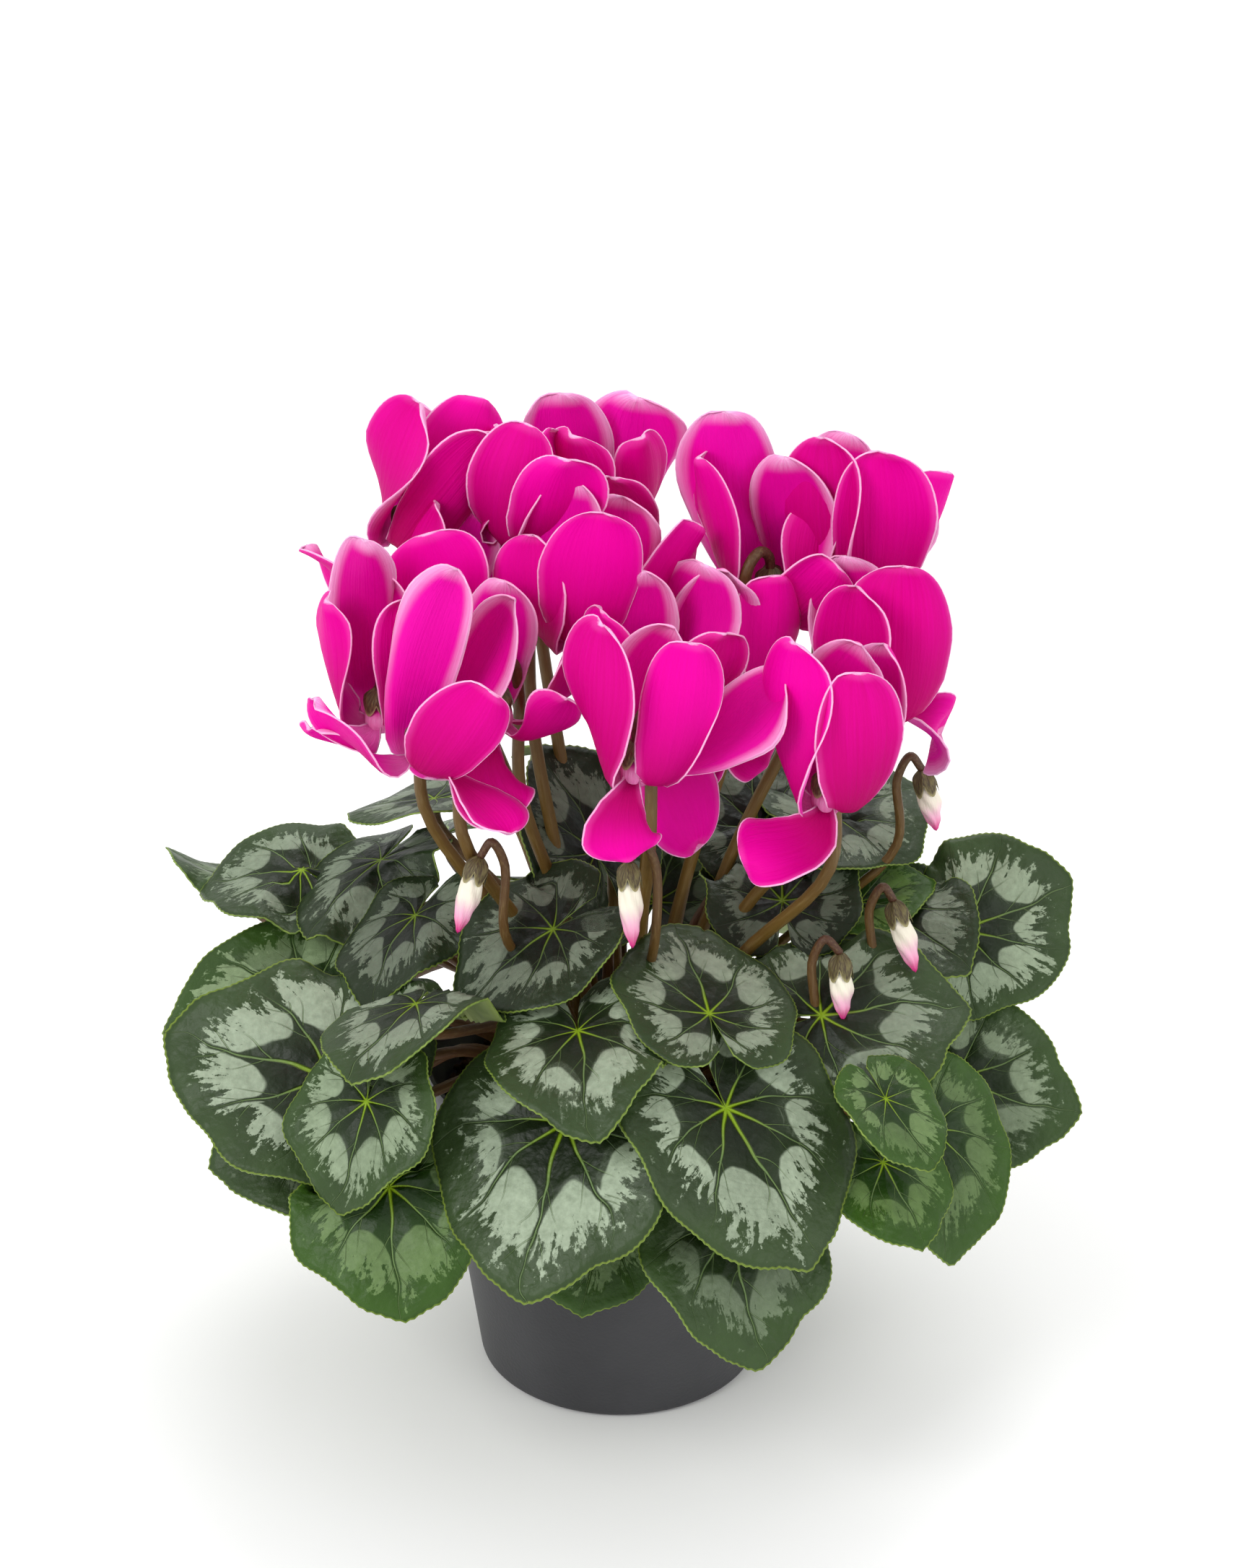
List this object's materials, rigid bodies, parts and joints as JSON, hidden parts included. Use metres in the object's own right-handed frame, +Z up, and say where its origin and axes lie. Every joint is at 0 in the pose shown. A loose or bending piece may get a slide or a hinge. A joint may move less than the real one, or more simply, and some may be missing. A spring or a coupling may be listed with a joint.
{
  "type": "potted cyclamen",
  "caption": "Flowering cyclamen in a plain round plastic growing pot, with a dome of heart-shaped patterned leaves and a cluster of swept-back flowers above it.",
  "frame": {"origin": "centre of the pot's flat underside", "axes": "+Z up along the pot's axis, front of the plant towards -Y"},
  "size_m": [0.3074, 0.257, 0.3351],
  "materials": {
    "dark_plastic": "smooth, slightly satin",
    "earth": "crumbly dark potting soil",
    "stalk": "fleshy, reddish brown to olive",
    "petal": "soft velvety magenta with a thin white edge",
    "bud": "soft cream white to pink",
    "blade": "dark green with a silver band and pale veins, soft sheen"
  },
  "bodies": {
    "root": {"pot": "dark_plastic", "soil": "earth", "crown": "stalk", "bloom_01": "petal", "bloom_02": "petal", "bloom_03": "petal", "bloom_04": "petal", "bloom_05": "petal", "bloom_06": "petal", "bloom_07": "petal", "bloom_08": "petal", "bloom_09": "petal", "bloom_10": "petal", "bloom_11": "petal", "bloom_12": "petal", "bloom_13": "petal", "bloom_14": "petal", "bloom_15": "petal", "bud_1": "bud", "bud_2": "bud", "bud_3": "bud", "bud_4": "bud", "bud_5": "bud", "leaf_01": "blade", "leaf_02": "blade", "leaf_03": "blade", "leaf_04": "blade", "leaf_05": "blade", "leaf_06": "blade", "leaf_07": "blade", "leaf_08": "blade", "leaf_09": "blade", "leaf_10": "blade", "leaf_11": "blade", "leaf_12": "blade", "leaf_13": "blade", "leaf_14": "blade", "leaf_15": "blade", "leaf_16": "blade", "leaf_17": "blade", "leaf_18": "blade", "leaf_19": "blade", "leaf_20": "blade", "leaf_21": "blade", "leaf_22": "blade", "leaf_23": "blade", "leaf_24": "blade", "leaf_25": "blade", "leaf_26": "blade", "leaf_27": "blade", "leaf_28": "blade", "leaf_29": "blade", "leaf_30": "blade", "leaf_31": "blade", "leaf_32": "blade", "leaf_33": "blade", "leaf_34": "blade", "leaf_35": "blade", "leaf_36": "blade", "leaf_37": "blade"}
  },
  "joints": []
}
